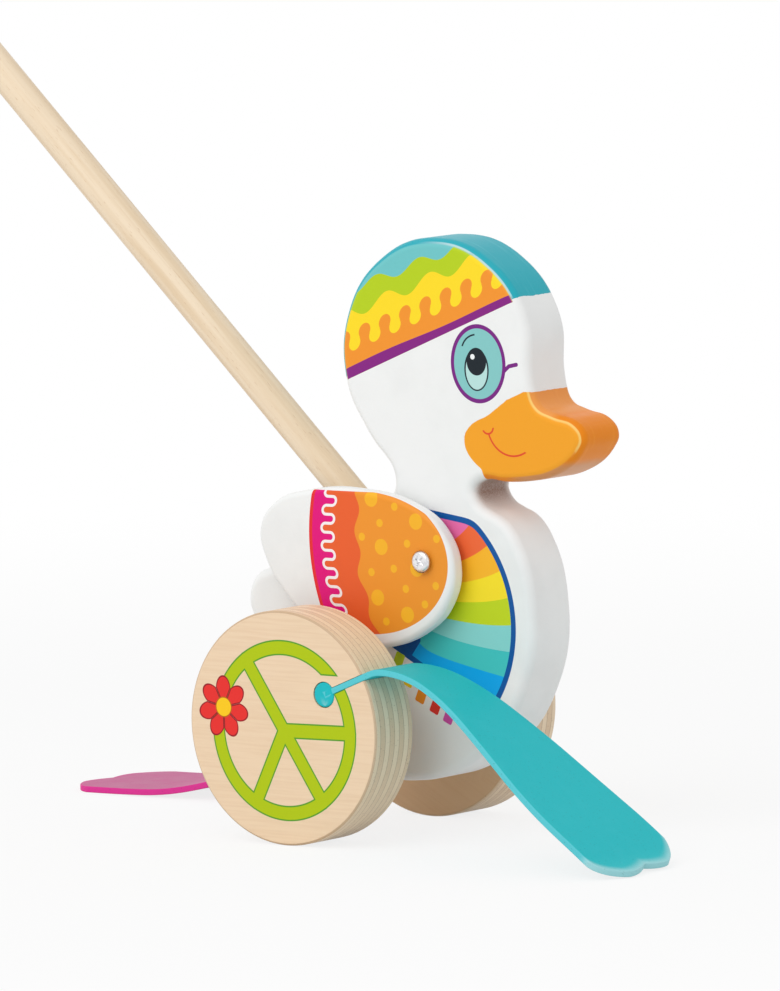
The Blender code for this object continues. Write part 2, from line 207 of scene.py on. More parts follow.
class Field:
    """A number that changes over a surface, worked out by Math nodes, to draw a print by formula."""

    def __init__(self, socket):
        self.socket = socket

    def math(self, operation, *others, clamp=False):
        tree = self.socket.id_data
        node = tree.nodes.new("ShaderNodeMath")
        node.operation = operation
        node.use_clamp = clamp
        for place, value in zip(node.inputs, (self, *others)):
            if isinstance(value, Field):
                tree.links.new(value.socket, place)
            else:
                place.default_value = value
        return Field(node.outputs[0])

    def __add__(self, other):
        return self.math("ADD", other)

    def __sub__(self, other):
        return self.math("SUBTRACT", other)

    def __mul__(self, other):
        return self.math("MULTIPLY", other)

    def __neg__(self):
        return self.math("MULTIPLY", -1.0)

    def __abs__(self):
        return self.math("ABSOLUTE")

    def least(self, other):
        return self.math("MINIMUM", other)

    def most(self, other):
        return self.math("MAXIMUM", other)

    def reach(self, other):
        """Length of the arrow that has these two sides."""
        return self.math("MULTIPLY_ADD", self, other * other).math("SQRT")

    def wave(self, period, top):
        """A cosine of the given period with a crest at top."""
        return (self - top).math("MULTIPLY", math.tau / period).math("COSINE")

    def fold(self, period, middle):
        """Signed distance to the nearest of a row of marks, one of them at middle."""
        return (self - (middle - period / 2)).math("FLOORED_MODULO", period) - period / 2

    def drawn(self, blur=0.08):
        """1 where a distance in millimetres is below nought and 0 above it, with a soft edge."""
        return self.math("MULTIPLY_ADD", -1 / blur, 0.5, clamp=True)

    def rises(self, start, end):
        """0 before start, 1 after end, and smooth between."""
        tree = self.socket.id_data
        node = tree.nodes.new("ShaderNodeMapRange")
        node.interpolation_type = "SMOOTHSTEP"
        node.inputs["From Min"].default_value = start
        node.inputs["From Max"].default_value = end
        tree.links.new(self.socket, node.inputs["Value"])
        return Field(node.outputs["Result"])


def ink(red, green, blue):
    """A colour as a screen shows it, 0 to 255, in the linear numbers that a shader takes."""
    shares = (level / 255 for level in (red, green, blue))
    return (*(s / 12.92 if s <= 0.04045 else ((s + 0.055) / 1.055) ** 2.4 for s in shares), 1.0)


def over(under, colour, mask):
    """A colour laid over another wherever the mask is 1. Either is a list of numbers or a socket."""
    tree = mask.socket.id_data
    node = tree.nodes.new("ShaderNodeMix")
    node.data_type = "RGBA"
    tree.links.new(mask.socket, node.inputs[0])
    for place, value in ((6, under), (7, colour)):
        if isinstance(value, bpy.types.NodeSocket):
            tree.links.new(value, node.inputs[place])
        else:
            node.inputs[place].default_value = value
    return node.outputs[2]


def new_finish(name, roughness, gloss=PAINT_GLOSS, metallic=0.0):
    """A material with its shader's constants set."""
    made = bpy.data.materials.new(name)
    made.use_nodes = True
    shader = made.node_tree.nodes["Principled BSDF"]
    shader.inputs["Roughness"].default_value = roughness
    shader.inputs["Specular IOR Level"].default_value = gloss
    shader.inputs["Metallic"].default_value = metallic
    return made


def places(finish, centre, turn=UPRIGHT):
    """Millimetres from a centre along three axes of a piece, and the vector that holds them."""
    tree = finish.node_tree
    coordinates = tree.nodes.new("ShaderNodeTexCoord")
    mapping = tree.nodes.new("ShaderNodeMapping")
    mapping.inputs["Scale"].default_value = (1000, 1000, 1000)
    mapping.inputs["Rotation"].default_value = turn.to_euler()
    mapping.inputs["Location"].default_value = turn @ (Vector(centre) * -1000)
    tree.links.new(coordinates.outputs["Object"], mapping.inputs["Vector"])
    split = tree.nodes.new("ShaderNodeSeparateXYZ")
    tree.links.new(mapping.outputs["Vector"], split.inputs["Vector"])
    return (*(Field(axis) for axis in split.outputs), mapping.outputs["Vector"])


def noise(vector, size, detail=3.0, stretch=(1, 1, 1)):
    """Noise from 0 to 1 whose lumps are about size millimetres, longer along a stretched axis."""
    tree = vector.id_data
    mapping = tree.nodes.new("ShaderNodeMapping")
    mapping.inputs["Scale"].default_value = [1 / (size * longer) for longer in stretch]
    tree.links.new(vector, mapping.inputs["Vector"])
    lumps = tree.nodes.new("ShaderNodeTexNoise")
    lumps.inputs["Scale"].default_value = 1.0
    lumps.inputs["Detail"].default_value = detail
    tree.links.new(mapping.outputs["Vector"], lumps.inputs["Vector"])
    return Field(lumps.outputs["Fac"])


def dressed(finish, colour, roughness=None, relief=None, height=0.0001):
    """Sets a finish's colour, and its roughness and relief where they vary. Height is in metres."""
    tree = finish.node_tree
    shader = tree.nodes["Principled BSDF"]
    tree.links.new(colour, shader.inputs["Base Color"])
    if roughness:
        tree.links.new(roughness.socket, shader.inputs["Roughness"])
    if relief:
        bump = tree.nodes.new("ShaderNodeBump")
        bump.inputs["Distance"].default_value = height
        tree.links.new(relief.socket, bump.inputs["Height"])
        tree.links.new(bump.outputs["Normal"], shader.inputs["Normal"])


def ellipse(x, z, centre, half_width, half_height):
    """Distance outside an ellipse, about true near its line."""
    across = (x - centre[0]) * (1 / half_width)
    up = (z - centre[1]) * (1 / half_height)
    return (across.reach(up) - 1) * min(half_width, half_height)


def stroke(x, z, start, end, width):
    """Distance outside a straight line with round ends."""
    run = Vector(end) - Vector(start)
    right, up = x - start[0], z - start[1]
    share = (right * run.x + up * run.y).math("MULTIPLY", 1 / run.length_squared, clamp=True)
    return (right - share * run.x).reach(up - share * run.y) - width / 2


def meander(along, across, period, swing, top):
    """Distance above a line of round fingers, which point up at top and down half a period on."""
    bend = period / 4
    place = abs(along.fold(period, top))
    upper = (across - (swing - bend)).most(0.0).reach(place) - bend
    lower = (-across - (swing - bend)).most(0.0).reach(-place + period / 2) - bend
    return (-across).drawn(0.001).math("MULTIPLY_ADD", upper + lower, -lower)


def stamp(coat, colour, distance, face):
    """An ink printed on a flat face, inside the line where the distance is nought."""
    return over(coat, ink(*colour), distance.drawn() * face)


def fan(angle, start, end, colours):
    """Equal stripes of ink between two angles in degrees."""
    tree = angle.socket.id_data
    node = tree.nodes.new("ShaderNodeValToRGB")
    ramp = node.color_ramp
    ramp.interpolation = "CONSTANT"
    while len(ramp.elements) < len(colours):
        ramp.elements.new(1.0)
    for i, colour in enumerate(colours):
        ramp.elements[i].position = i / len(colours)
        ramp.elements[i].color = ink(*colour)
    share = (angle - start) * (1 / (end - start))
    tree.links.new(share.socket, node.inputs["Fac"])
    return node.outputs["Color"]


def heading(x, z, centre):
    """Direction of a place seen from a centre, in degrees up from forward, 0 to 360."""
    turn = (z - centre[1]).math("ARCTAN2", x - centre[0])
    return (turn * (180 / math.pi)).math("FLOORED_MODULO", 360.0)


def over_hem(x, z):
    """Height above the lower line of the cap's hem."""
    return z - x * HEM_SLOPE - (HEM_START[1] - HEM_SLOPE * HEM_START[0])


def cap_print(coat, x, z, face):
    """The cap: a hem, round fingers of orange in yellow, and wavy lime, up to a pale crown."""
    above_hem = over_hem(x, z)
    cap = -above_hem
    coat = stamp(coat, (112, 198, 200), cap, face)
    lime_top = x.wave(16.0, 12.8) * 1.5 - x * 0.06 + 26.2
    coat = stamp(coat, (184, 210, 25), cap.most(above_hem - lime_top), face)
    lime_low = x.wave(16.2, 16.4) * 1.9 - x * 0.03 + 19.2
    coat = stamp(coat, (255, 222, 35), cap.most(above_hem - lime_low), face)
    up = above_hem + x * 0.03 - 11.1
    period, first = 7.65, 7.9
    heads = (up - 1.2).reach(x.fold(period, first)) - 2.2
    drips = (up + 1.2).reach(x.fold(period, first + period / 2)) - 2.15
    fingers = meander(x, up, period, 2.9, first).least(heads).most(-drips)
    coat = stamp(coat, (245, 150, 45), cap.most(fingers), face)
    hem_top = x.wave(44.0, 16.0) * 0.25 - x * 0.02 + 3.5
    return stamp(coat, (135, 32, 130), cap.most(above_hem - hem_top), face)


def face_print(coat, x, z, face):
    """Eye behind a round spectacle lens, its temple, and the smile on the beak."""
    dark = (24, 40, 50)
    frame_purple = (122, 34, 130)
    smile_red = (228, 74, 40)
    lens = (49.95, 142.0)
    coat = stamp(coat, frame_purple, ellipse(x, z, lens, 10.1, 11.7), face)
    coat = stamp(coat, (134, 201, 199), ellipse(x, z, lens, 8.88, 10.43), face)
    coat = stamp(coat, dark, ellipse(x, z, (49.3, 140.2), 4.5, 6.3), face)
    coat = stamp(coat, (186, 226, 222), ellipse(x, z, (49.3, 140.1), 3.95, 5.75), face)
    coat = stamp(coat, (18, 30, 38), ellipse(x, z, (49.3, 142.6), 3.6, 4.1), face)
    coat = stamp(coat, (246, 250, 250), ellipse(x, z, (47.9, 144.0), 0.8, 0.8), face)
    brow = abs(ellipse(x, z, (49.6, 145.6), 5.6, 5.0)) - 0.25
    coat = stamp(coat, dark, brow.most(x - 48.9).most(-z + 147.0), face)
    temple = stroke(x, z, (59.3, 140.0), (61.2, 141.6), 1.2)
    temple = temple.least(stroke(x, z, (61.2, 141.6), (64.0, 142.2), 1.2))
    coat = stamp(coat, frame_purple, temple, face)
    smile = abs((x - 61.9).reach(z - 124.3) - 9.15) - 0.28
    chord = z + (x - 53.1) * 0.363 - 121.4
    coat = stamp(coat, smile_red, smile.most(chord), face)
    cheek = abs((x - 52.9).reach(z - 123.4) - 2.0) - 0.28
    return stamp(coat, smile_red, cheek.most(z - x * 0.24 - 110.1), face)


def bib_print(coat, x, z, face):
    """A bib of rainbow rays with a blue border, and a row of dashes under it."""
    round_side = (x - 21.4).reach(z - 64.64) - 40.04
    top = (z + x * 0.137 - 102.2) * 0.991
    foot = (-z - x * 0.55 + 64.6) * 0.876
    back = (z - 98.5) * 0.309 - (x - 27.0) * 0.951
    bib = round_side.math("SMOOTH_MAX", top, 2.5).most(foot).most(back)
    coat = stamp(coat, (4, 86, 160), bib, face)
    hub = (18.44, 55.0)
    rays = heading(x, z, hub)
    below = (rays - 180).math("GREATER_THAN", 0.0)
    rays = below.math("MULTIPLY_ADD", -360.0, rays)
    short = -(x - hub[0]).reach(z - hub[1]) + 49.94
    rays = rays - (rays * 0.0005 + 0.006) * short * short
    stripes = fan(rays, 66.16, -19.02, (
        (236, 114, 174), (244, 108, 58), (255, 186, 42), (255, 228, 42),
        (198, 218, 30), (138, 216, 212), (66, 198, 196), (0, 168, 238),
    ))
    corner = (z.least(58.5) - 54.3) * 0.62 - (x - 22.6) * 0.785
    coat = over(coat, stripes, (bib + 1.8).most(corner).drawn() * face)
    for centre, colour in DASHES:
        right, up = x - centre[0], z - centre[1]
        length = right * math.cos(DASH_LEAN) + up * math.sin(DASH_LEAN)
        width = up * math.cos(DASH_LEAN) - right * math.sin(DASH_LEAN)
        dash = (abs(length) - 1.6).most(0.0).reach((abs(width) - 1.15).most(0.0)) - 0.55
        coat = stamp(coat, colour, dash, face)
    return coat


def beak_zone(x, z):
    """Distance outside the beak's paint, seen from the side."""
    lean = math.radians(-10.5)
    forward, up = x - 59.7, z - 117.1
    along = forward * math.cos(lean) + up * math.sin(lean)
    across = up * math.cos(lean) - forward * math.sin(lean)
    cheek = ellipse(along, across, (0, 0), 15.7, 9.1)
    short = (-x + 66.3).most(0.0)
    bridge = z + (short * 0.42).most(short * 0.68 - 1.6) - BEAK_TIP
    return cheek.math("SMOOTH_MIN", bridge.most(-x + 50.5).most(-z + 106.0), 1.5)


def duck_paint():
    """White paint with cap and beak brushed on the edges, and the prints on both faces, with painted
    shade, reflection and highlights on and under the beak's edges.
    """
    finish = new_finish("duck_paint", 0.4)
    x, y, z, spot = places(finish, (AXLE.x, 0, 0))
    face = (-abs(y) + PRINT_FROM).drawn(0.2)
    coat = over(ink(*WHITE), ink(*WHITE_SHADE), noise(spot, 14.0).rises(0.35, 0.75))
    # Painted shade: a speckled brown shade on the front edge under the beak, strongest mid-board and
    # fading out towards both faces.
    grain = noise(spot, 0.5).rises(0.35, 0.65) * 0.2 + 0.8
    painted_throat_shade = z.rises(97.5, 104.0) * (-z + 112.0).rises(0.0, 4.0) * x.rises(41.0, 46.0)
    coat = over(coat, ink(126, 84, 56), painted_throat_shade * grain * (-abs(y) + 9.6).rises(0.0, 4.5) * 0.85)
    ragged = (noise(spot, 2.2) - 0.5) * 0.9
    above_hem = over_hem(x, z) - 1.0
    streaks = noise(spot, 1.3, stretch=(14, 1, 14)).rises(0.5, 0.8) * 0.5
    # A thin broken pale line along the rounding where the print ends.
    primer_seam_and_highlight = (abs(abs(y) - SEAM_AND_HIGHLIGHT_AT) - 0.25).drawn(0.14) * noise(spot, 6.0).rises(0.3, 0.45)
    brushed = over(ink(*CAP_TURQUOISE), ink(*CAP_STREAK), streaks)
    # On the cap's front it is partly white primer left bare and partly a painted highlight on the
    # rounding.
    brushed = over(brushed, ink(226, 240, 240), primer_seam_and_highlight * x.rises(26.0, 44.0) * 0.65)
    coat = over(coat, brushed, (ragged - above_hem).drawn())
    beak = beak_zone(x, z)
    orange = over(ink(*BEAK_EDGE), ink(*BEAK_STREAK), streaks)
    # Painted reflection and shade: the beak's edge paint turns pale greyish brown along its underside.
    painted_underside_reflection = (-z + 115.0).rises(0.0, 3.0) * x.rises(57.0, 66.0)
    orange = over(orange, ink(205, 152, 112), painted_underside_reflection * 0.65)
    # Painted highlight: the upward-facing top of the beak's edge is painted paler orange.
    painted_beak_top_highlight = x.rises(64.0, 69.0) * (-x + 79.0).rises(0.0, 4.0) * z.rises(122.0, 126.0)
    orange = over(orange, ink(240, 170, 102), painted_beak_top_highlight * 0.5)
    # Painted highlight: a yellow line along the upper part of the beak's rounding.
    orange = over(orange, ink(255, 214, 120), primer_seam_and_highlight * z.rises(115.0, 119.0) * 0.85)
    coat = over(coat, orange, (beak + ragged * 0.5).drawn())
    coat = stamp(coat, (247, 165, 36), beak, face)
    coat = cap_print(coat, x, z, face)
    coat = face_print(coat, x, z, face)
    coat = bib_print(coat, x, z, face)
    sheen = noise(spot, 3.0) * 0.12 + 0.34
    peel = noise(spot, 0.9, detail=2.0)
    dressed(finish, coat, sheen, peel, 0.00002)
    return finish


duck = sawn_plate("painted_duck", "duck_body", PLANK_SECTION, PLANK_ROUND)
across_board = Vector((0, DRILL_START, 0))
join(duck, rod("drill", AXLE - across_board, AXLE + across_board, AXLE_BORE))
GRIP = MOUNTS["hand_grip"]
UP_STICK = Vector(GRIP["axis"]).normalized()
STICK_FOOT = AXLE + Vector((STICK_FORWARD, 0, STICK_UP))
stick_mouth = STICK_FOOT + UP_STICK * STICK_DRILL
join(duck, rod("drill", STICK_FOOT - UP_STICK * GLUE_GAP, stick_mouth, STICK_BORE))
for joint in ("right_wing_swing", "left_wing_swing"):
    screw = JOINT_AT[joint]
    inwards = Vector((0, -math.copysign(1, screw.y), 0))
    mouth = Vector((screw.x, -DRILL_START * inwards.y, screw.z))
    end = Vector((screw.x, (PILOT_DEPTH - BOARD_HALF) * inwards.y, screw.z))
    join(duck, rod("drill", mouth, end, PILOT_BORE, 32))
polish(duck)
duck.data.materials.append(duck_paint())
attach(duck, "duck")
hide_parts("duck_body")


# The stick: a beech dowel, its ends just broken, glued into the slanting bore behind the neck.
# A turned beech ball with a blind bore is glued on its upper end, for the hand.
STICK_RADIUS = 0.005
STICK_LENGTH = 0.5
STICK_EDGE = 0.0006
KNOB_RADIUS = 0.0175
KNOB_DRILL = 0.04


def broken_edges(piece, width, steps=3):
    """Rounds a turned piece's sharp rims."""
    hold(piece)
    bpy.ops.object.mode_set(mode="EDIT")
    bpy.ops.mesh.select_mode(type="EDGE")
    bpy.ops.mesh.select_all(action="DESELECT")
    bpy.ops.mesh.edges_select_sharp(sharpness=math.radians(60))
    bpy.ops.mesh.bevel(offset=width, segments=steps, affect="EDGES")
    bpy.ops.mesh.select_mode(type="VERT")
    bpy.ops.object.mode_set(mode="OBJECT")


def beech(name, centre, along):
    """Lacquered beech whose grain runs along a direction: fine streaks and short dark flecks."""
    finish = new_finish(name, 0.45)
    turn = along.to_track_quat("Z", "X").to_matrix().transposed()
    spot = places(finish, centre, turn)[-1]
    broad = noise(spot, 2.6, stretch=(1, 1, 30))
    fine = noise(spot, 0.55, stretch=(1, 1, 40))
    flecks = noise(spot, 0.32, detail=1.0, stretch=(1, 1, 9)).rises(0.66, 0.76)
    coat = over(ink(240, 220, 192), ink(229, 205, 172), broad.rises(0.35, 0.72))
    coat = over(coat, ink(220, 192, 156), fine.rises(0.55, 0.85) * 0.6)
    coat = over(coat, ink(196, 160, 122), flecks * 0.4)
    dressed(finish, coat, fine * 0.15 + 0.36, fine, 0.00004)
    return finish


stick = rod("push_stick_dowel", STICK_FOOT, STICK_FOOT + UP_STICK * STICK_LENGTH, STICK_RADIUS)
broken_edges(stick, STICK_EDGE)
polish(stick)
stick.data.materials.append(beech("stick_beech", STICK_FOOT, UP_STICK))
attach(stick, "duck")
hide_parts("push_stick")

knob_centre = Vector(GRIP["pos_m"])
bpy.ops.object.select_all(action="DESELECT")
bpy.ops.mesh.primitive_uv_sphere_add(
    segments=96,
    ring_count=48,
    radius=KNOB_RADIUS,
    location=knob_centre,
    rotation=UP_STICK.to_track_quat("Z", "X").to_euler(),
)
knob = bpy.context.object
knob.name = "turned_ball"
bpy.ops.object.transform_apply(location=True, rotation=True, scale=True)
stick_end = STICK_FOOT + UP_STICK * (STICK_LENGTH + GLUE_GAP)
join(knob, rod("drill", stick_end - UP_STICK * KNOB_DRILL, stick_end, STICK_BORE))
polish(knob)
knob.data.materials.append(beech("ball_beech", knob_centre, UP_STICK))
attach(knob, "duck")
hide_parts("stick_knob")


# The axle: a thin beech dowel glued into both wheels. It turns in the board's bore, and a loose
# wooden sleeve on each side keeps the wheels away from the wings.
SLEEVE_EDGE = 0.0004
SLEEVE_BORE = 0.0043

frame["nodes"]["axle"].data.materials[0] = beech("axle_beech", AXLE, Vector((0, 1, 0)))
for side in ("right", "left"):
    node = side + "_axle_spacer"
    low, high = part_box(node)
    ends = [Vector((AXLE.x, y, AXLE.z)) for y in (low.y, high.y)]
    sleeve = rod(side + "_sleeve", *ends, (high.z - low.z) / 2)
    beyond = (ends[1] - ends[0]) * 0.5
    join(sleeve, rod("drill", ends[0] - beyond, ends[1] + beyond, SLEEVE_BORE))
    broken_edges(sleeve, SLEEVE_EDGE)
    polish(sleeve)
    sleeve.data.materials.append(beech(side + "_sleeve_beech", ends[0], Vector((0, 1, 0))))
    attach(sleeve, "wheelset")
    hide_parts(node)


# The wheels: discs of birch plywood, sawn and sanded, with a blind hole for the axle in the inner
# face and a keyhole right through for the foot. The outer face has a ring with spokes and a daisy.
WHEEL_EDGE = 0.0009
WHEEL_SIDES = 192
BEAD_PLACE = Vector((0.0159, 0, 0.0109))
BEAD_HOLE = 0.00392
SLOT_HALF = 0.00104
SLOT_TILT = 22.0
FEET_APART = 152.0
PLY_MM = 2.25
RIM_MM = 35.0
INNER_FACE_MM = 26.3  # from the middle of the toy
SOCKET_RADIUS = 0.0043
SOCKET_DEPTH = 0.012
PAST_WHEEL = 0.01  # how far a tool runs out of the wheel's faces
SAW_LENGTH = 0.04


def keyhole(wheel, low, high, turn):
    """Cuts the foot's hole and slot through a wheel, the slot out to the rim."""
    bead = AXLE + turn @ BEAD_PLACE
    over_low = Vector((bead.x, low.y - PAST_WHEEL, bead.z))
    over_high = Vector((bead.x, high.y + PAST_WHEEL, bead.z))
    join(wheel, rod("drill", over_low, over_high, BEAD_HOLE, 48))
    out = turn @ (Matrix.Rotation(math.radians(-SLOT_TILT), 3, "Y") @ Vector((1, 0, 0)))
    middle = bead + out * (SAW_LENGTH / 2)
    middle.y = (low.y + high.y) / 2
    bpy.ops.object.select_all(action="DESELECT")
    bpy.ops.mesh.primitive_cube_add(
        size=1.0, location=middle, rotation=(0, -math.atan2(out.z, out.x), 0)
    )
    saw = bpy.context.object
    saw.scale = (SAW_LENGTH, high.y - low.y + 2 * PAST_WHEEL, 2 * SLOT_HALF)
    bpy.ops.object.transform_apply(location=True, rotation=True, scale=True)
    join(wheel, saw)


def wheel_print(coat, x, z, face):
    """A green ring with four spokes, left bare over the slot, and a red daisy."""
    off_centre = 0.6
    ring_radius = 24.7
    x, z = x - off_centre, z + off_centre
    ring = abs(x.reach(z) - ring_radius) - 2.3
    spokes = None
    for degrees in (124.0, -56.0, 1.0, -117.0):
        angle = math.radians(degrees)
        end = (ring_radius * math.cos(angle), ring_radius * math.sin(angle))
        bar = stroke(x, z, (0, 0), end, 4.7)
        spokes = bar if spokes is None else spokes.least(bar)
    tilt = math.radians(SLOT_TILT)
    ahead, above = x - BEAD_PLACE.x * 1000, z - BEAD_PLACE.z * 1000
    over_slot = above * math.cos(tilt) - ahead * math.sin(tilt)
    bare = (-over_slot).most(z - 17.2).most(-ahead - 6.0)
    sign = ring.least(spokes).most(-bare)
    coat = stamp(coat, (86, 158, 40), sign, face)
    coat = stamp(coat, (179, 201, 0), sign + 0.45, face)
    right, up = x + 22.7, z - 5.8
    out = right.reach(up)
    turn = up.math("ARCTAN2", right) * (180 / math.pi)
    leaf = turn.fold(360 / 7, 90.0) * (math.pi / 180)
    petals = ellipse(out * leaf.math("COSINE"), out * leaf.math("SINE"), (5.6, 0), 3.9, 2.75)
    petals = petals.most((abs(leaf) - math.pi / 7) * out)
    coat = stamp(coat, (150, 20, 34), petals, face)
    coat = stamp(coat, (234, 48, 44), petals + 0.36, face)
    coat = stamp(coat, (190, 100, 20), out - 3.1, face)
    return stamp(coat, (254, 204, 22), out - 2.75, face)


def birch_ply(name, turn):
    """Birch plywood: crossed plies with thin glue lines, end grain where a ply is cut across."""
    finish = new_finish(name, 0.5)
    x, y, z, spot = places(finish, AXLE, turn)
    depth = abs(y) - INNER_FACE_MM
    ply = (depth * (1 / PLY_MM)).math("FLOOR")
    odd = ply.math("FLOORED_MODULO", 2.0)
    along_x = noise(spot, 0.8, stretch=(26, 2, 1))
    along_z = noise(spot, 0.8, stretch=(1, 2, 26))
    grain = odd.math("MULTIPLY_ADD", along_z - along_x, along_x)
    rim = x.reach(z)
    edge = (rim - 34.2).rises(0.0, 0.4)
    cut_x = x * x * (1 / RIM_MM**2)
    cut_z = z * z * (1 / RIM_MM**2)
    end_grain = odd.math("MULTIPLY_ADD", cut_z - cut_x, cut_x) * edge
    coat = over(ink(241, 214, 182), ink(235, 206, 173), grain.rises(0.35, 0.75))
    # Painted light: the whole rim is painted paler, standing in for light thrown up onto it from the
    # floor.
    coat = over(coat, ink(255, 238, 210), edge * 0.55)
    coat = over(coat, ink(200, 162, 122), end_grain * 0.36)
    pores = noise(spot, 0.35, detail=1.0, stretch=(1, 2.5, 1)).rises(0.66, 0.74)
    coat = over(coat, ink(140, 100, 70), pores * edge * 0.35)
    glue = (abs(depth.fold(PLY_MM, 0.0)) - 0.09).drawn(0.12)
    coat = over(coat, ink(150, 108, 74), glue * edge * 0.6)
    brink = (rim + depth - 52.25).rises(0.0, 0.15)
    coat = over(coat, ink(176, 138, 100), brink * 0.5)
    # Painted shade: the inner face, which faces the duck, is tinted warmer and darker.
    coat = over(coat, ink(222, 176, 122), (-depth + 0.3).rises(0.0, 0.2) * 0.5)
    face = (-depth + 17.5).drawn(0.2)
    coat = wheel_print(coat, x, z, face)
    dressed(finish, coat, grain * 0.2 + 0.38, grain + glue * edge, 0.00003)
    return finish


for side in ("right", "left"):
    node = side + "_wheel"
    low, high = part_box(node)
    turn = Matrix.Rotation(math.radians(-FEET_APART) if side == "left" else 0.0, 3, "Y")
    ends = [Vector((AXLE.x, y, AXLE.z)) for y in (low.y, high.y)]
    wheel = rod(side + "_plywood_wheel", *ends, (high.z - low.z) / 2, WHEEL_SIDES)
    broken_edges(wheel, WHEEL_EDGE)
    inner = min(ends, key=lambda end: abs(end.y))
    outwards = Vector((0, math.copysign(1, inner.y), 0))
    socket_end = inner + outwards * SOCKET_DEPTH
    join(wheel, rod("drill", inner - outwards * PAST_WHEEL, socket_end, SOCKET_RADIUS, 48))
    keyhole(wheel, low, high, turn)
    polish(wheel)
    wheel.data.materials.append(birch_ply(side + "_ply", turn.transposed()))
    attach(wheel, "wheelset")
    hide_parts(node)


# The feet: webbed flaps of moulded rubber, wide at the toes, with a round bead along the near end.
# The bead and its neck are slid sideways into the wheel's keyhole, and the flap is free outside it.
FOOT_THICK = 0.0019
FOOT_EDGE = 0.0006
BEAD_RADIUS = 0.00375
FLAP_HINGE_OUT = 0.0025
FLAP_LENGTH = 0.1164
FLAP_WIDTH = 0.0402
FLAP_WIDENS = 0.095
FLAP_SIDE = 0.0204  # inner edge of a spread flap, from the middle of the toy
TOE_CORNER = 0.0143
TOE_NOTCH = 0.0039
TOE_NOTCH_WIDTH = 0.0214
TOE_SKEW = 0.0017
TOE_FADE = 0.005
RIGHT_BEND = ((0.0, 22.0), (0.03, 2.0), (0.08, -7.1), (0.19, -23.2), (0.34, -32.9), (0.55, -36.0),
              (0.76, -34.0), (0.89, -36.9), (1.0, -7.2))
LEFT_BEND = ((0.0, 174.0), (0.08, 186.7), (0.20, 230.0), (0.32, 239.8), (0.42, 211.0),
             (0.50, 194.8), (0.60, 189.2), (0.72, 181.6), (1.0, 180.0))
PATH_STEPS = 120
RUBBER_GLOSS = 0.15


def flap_path(bend, start, ease):
    """Points along a bent flap, its slope eased by some degrees beyond the neck."""
    here = Vector(start)
    line = [here.copy()]
    for i in range(PATH_STEPS):
        share = (i + 0.5) / PATH_STEPS
        for (s0, a0), (s1, a1) in zip(bend, bend[1:]):
            if s0 <= share <= s1:
                slope = a0 + (a1 - a0) * (share - s0) / (s1 - s0)
        slope = math.radians(slope + ease * min(1.0, share / bend[1][0]))
        here += Vector((math.cos(slope), 0, math.sin(slope))) * (FLAP_LENGTH / PATH_STEPS)
        line.append(here.copy())
    return line


def toe_length(across):
    """Share of the flap's length that it has at a place across it, from -1 on its short side to 1."""
    corner = TOE_CORNER * (1 - math.sqrt(1 - 0.96 * across**2))
    notch = TOE_NOTCH * max(0.0, 1 - abs(across) * FLAP_WIDTH / TOE_NOTCH_WIDTH) ** 1.2
    return (FLAP_LENGTH - corner - notch - TOE_SKEW * (1 - across)) / FLAP_LENGTH


def resting_path(bend, start):
    """The flap turned at its neck until its lowest toe lies on the floor."""
    low, high = -25.0, 25.0
    falls = 1 if math.cos(math.radians(bend[0][1])) > 0 else -1
    longest = max(toe_length(i / 20 - 1) for i in range(41))
    for _ in range(40):
        ease = (low + high) / 2
        line = flap_path(bend, start, falls * ease)
        if min(p.z for p in line[: math.ceil(longest * PATH_STEPS) + 1]) > FOOT_THICK / 2:
            high = ease
        else:
            low = ease
    return flap_path(bend, start, falls * high)


def marked(finish, name):
    """A number that a piece's mesh holds at its points."""
    node = finish.node_tree.nodes.new("ShaderNodeAttribute")
    node.attribute_name = name
    return Field(node.outputs["Fac"])


def rubber(name, top, edge, tip, hinge, fade):
    """Matt rubber with fine specks, another colour on its thin edges and fading at the toes; where
    these are lighter they are painted highlights.
    """
    finish = new_finish(name, 0.55, RUBBER_GLOSS)
    spot = places(finish, hinge)[-1]
    rim = marked(finish, "rim").rises(0.975, 0.995)
    toe = marked(finish, "toe").rises(0.2, 1.0)
    bloom = noise(spot, 6.0)
    coat = over(ink(*top), ink(*edge), bloom.rises(0.4, 0.8) * 0.12)
    # The thin edges take the edge colour; on the turquoise foot its lighter tone is a painted
    # highlight.
    coat = over(coat, ink(*edge), rim)
    # Towards the toe tips the colour fades to the tip colour; on the turquoise foot this pale tip is a
    # painted highlight.
    coat = over(coat, ink(*tip), toe * fade)
    specks = noise(spot, 0.5, detail=0.0).rises(0.76, 0.79)
    coat = over(coat, ink(24, 60, 66), specks * 0.25)
    dressed(finish, coat, bloom * 0.2 + 0.42, noise(spot, 0.4), 0.00003)
    return finish


